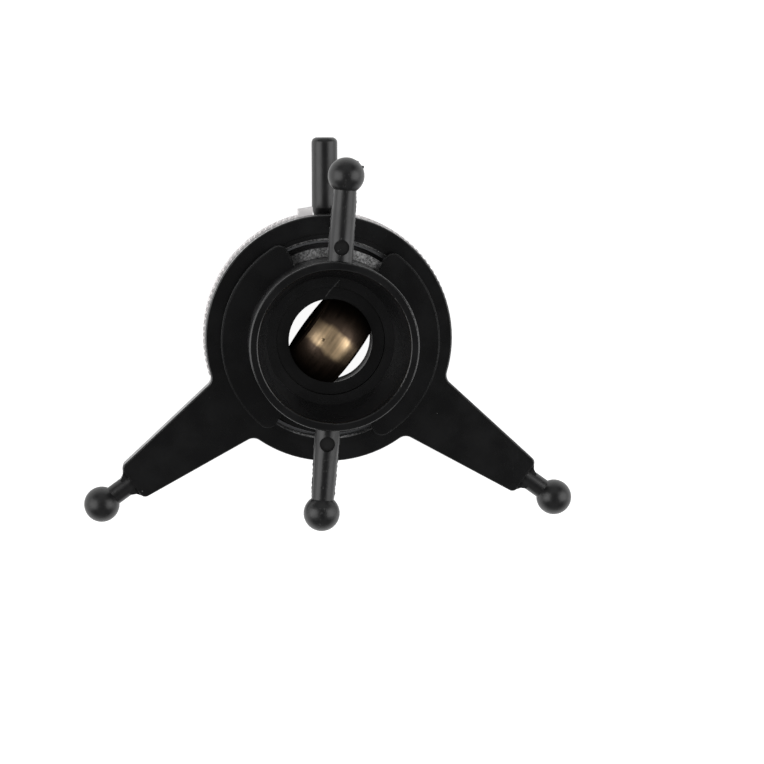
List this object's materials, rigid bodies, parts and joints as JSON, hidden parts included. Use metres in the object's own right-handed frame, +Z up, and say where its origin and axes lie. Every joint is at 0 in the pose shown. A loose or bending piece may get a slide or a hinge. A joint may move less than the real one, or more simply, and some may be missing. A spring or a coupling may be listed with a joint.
{
  "type": "helicopter swashplate",
  "caption": "Swashplate for a small model helicopter: a rotor hub turns on a ball bearing in a stationary star with servo link balls, and the whole plate tilts on a brass mast ball.",
  "frame": {"origin": "centre of the mast ball, the point that the swashplate tilts about", "axes": "+Z up the mast towards the rotor head, +Y towards the anti-rotation pin, +X across, along the line of the two servo balls"},
  "size_m": [0.0554, 0.043, 0.0184],
  "materials": {
    "black_moulding": "black moulded nylon, satin gloss",
    "ring_alloy": "bright knurled",
    "race_steel": "ground bearing steel",
    "seal_rubber": "black rubber seal",
    "cage_nylon": "moulded cage plastic",
    "seat_plastic": "black bearing plastic",
    "ball_brass": "turned, darkened brass"
  },
  "bodies": {
    "star": {"outer_star": "black_moulding", "retainer_ring": "ring_alloy", "anti_rotation_pin": "black_moulding", "bearing_outer_race": "race_steel", "bearing_seal_upper": "seal_rubber", "bearing_seal_lower": "seal_rubber"},
    "bearing_set": {"bearing_cage": "cage_nylon", "bearing_balls": "race_steel"},
    "hub": {"rotor_hub": "black_moulding", "bearing_inner_race": "race_steel", "hub_collar": "black_moulding"},
    "ball_seat": {"ball_seat_upper": "seat_plastic", "ball_seat_lower": "seat_plastic"},
    "mast_ball": {"mast_ball": "ball_brass"}
  },
  "joints": [
    {"name": "hub_spin", "type": "hinge", "parent": "star", "child": "hub", "pos_m": [0, 0, 0], "axis": [0, 0, 1], "continuous": true},
    {"name": "cage_spin", "type": "hinge", "parent": "star", "child": "bearing_set", "pos_m": [0, 0, 0], "axis": [0, 0, 1], "continuous": true},
    {"name": "seat_turn", "type": "hinge", "parent": "hub", "child": "ball_seat", "pos_m": [0, 0, 0], "axis": [0, 0, 1], "continuous": true},
    {"name": "ball_tilt", "type": "hinge", "parent": "ball_seat", "child": "mast_ball", "pos_m": [0, 0, 0], "axis": [-0.5997, -0.8002, 0], "continuous": true}
  ],
  "couplings": [
    {"joint": "cage_spin", "follows": "hub_spin", "ratio": 0.46}
  ]
}
